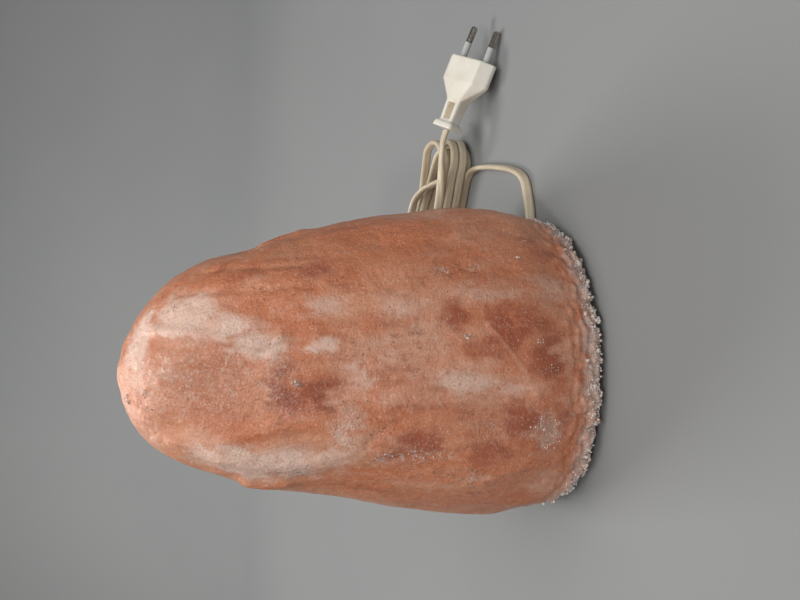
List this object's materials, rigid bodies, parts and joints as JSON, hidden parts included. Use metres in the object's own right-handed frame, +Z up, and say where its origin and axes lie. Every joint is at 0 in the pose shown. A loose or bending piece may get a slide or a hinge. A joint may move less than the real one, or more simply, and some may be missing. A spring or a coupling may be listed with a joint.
{
  "type": "rock salt lamp",
  "caption": "Hollowed block of rock salt standing on small pads over a screw-in lamp fitting, with a flat cord, an inline rocker switch and a flat mains plug.",
  "frame": {"origin": "on the surface the lamp stands on, under the middle of the salt block's bounding box", "axes": "+Z up, -Y the front that faces the viewer, +X the side where the cord leaves"},
  "size_m": [0.2691, 0.2053, 0.21],
  "materials": {
    "salt": "translucent salt, uneven, worn smooth",
    "felt": "matt felt",
    "holder_plastic": "satin moulded",
    "spring_steel": "bright spring steel",
    "porcelain": "glazed",
    "contact_brass": "bright",
    "screw_steel": "zinc plated",
    "brown_insulation": "vinyl",
    "blue_insulation": "vinyl",
    "bulb_metal": "bright",
    "bulb_glass": "clear",
    "black_glass": "glossy insulating glass",
    "tungsten": "drawn wire",
    "cord_vinyl": "cream vinyl, slightly grubby",
    "plug_vinyl": "off-white moulded vinyl",
    "carrier_plastic": "white moulded",
    "nickel": "nickel plated",
    "pin_sleeve": "light grey sleeve",
    "switch_shell": "off-white moulded",
    "rocker_plastic": "off-white moulded"
  },
  "bodies": {
    "cord_set": {"cord_gland": "holder_plastic", "holder_cap": "holder_plastic", "clip_ring": "spring_steel", "holder_sleeve": "holder_plastic", "holder_core": "porcelain", "screw_shell": "contact_brass", "centre_contact": "contact_brass", "terminal_live": "contact_brass", "terminal_neutral": "contact_brass", "terminal_screw_live": "screw_steel", "terminal_screw_neutral": "screw_steel", "contact_rivet": "contact_brass", "shell_rivet": "contact_brass", "live_wire": "brown_insulation", "neutral_wire": "blue_insulation", "spring_leg_1": "spring_steel", "spring_leg_2": "spring_steel", "spring_leg_3": "spring_steel", "cord_lead": "cord_vinyl", "cord_hank": "cord_vinyl", "cord_switch_in": "cord_vinyl", "cord_switch_out": "cord_vinyl", "cord_tail": "cord_vinyl", "plug_body": "plug_vinyl", "pin_carrier": "carrier_plastic", "pin_left": "nickel", "pin_right": "nickel", "pin_sleeve_left": "pin_sleeve", "pin_sleeve_right": "pin_sleeve", "switch_lower": "switch_shell", "switch_upper": "switch_shell", "rocker_pin": "screw_steel", "fixed_contact_in": "contact_brass", "fixed_contact_out": "contact_brass", "contact_screw_in": "screw_steel", "contact_screw_out": "screw_steel", "neutral_strip": "contact_brass", "shell_screw_1": "screw_steel", "shell_screw_2": "screw_steel"},
    "rock": {"salt_rock": "salt", "foot_front_left": "felt", "foot_front_right": "felt", "foot_back_left": "felt", "foot_back_right": "felt"},
    "bulb": {"bulb_cap": "bulb_metal", "bulb_glass": "bulb_glass", "bulb_stem": "bulb_glass", "bulb_insulator": "black_glass", "bulb_tip": "bulb_metal", "filament": "tungsten", "filament_support_left": "tungsten", "filament_support_right": "tungsten"},
    "rocker": {"switch_rocker": "rocker_plastic", "contact_lever": "contact_brass"}
  },
  "joints": [
    {"name": "rock_lift", "type": "slide", "parent": "cord_set", "child": "rock", "axis": [0, 0, 1], "range_m": [0, 0.16]},
    {"name": "bulb_turn", "type": "hinge", "parent": "cord_set", "child": "bulb", "pos_m": [0, 0, 0.0495], "axis": [0, 0, 1], "range_deg": [0, 1080]},
    {"name": "rocker_tilt", "type": "hinge", "parent": "cord_set", "child": "rocker", "pos_m": [0.002, 0.1, 0.0145], "axis": [0, 1, 0], "range_deg": [0, 16]}
  ]
}
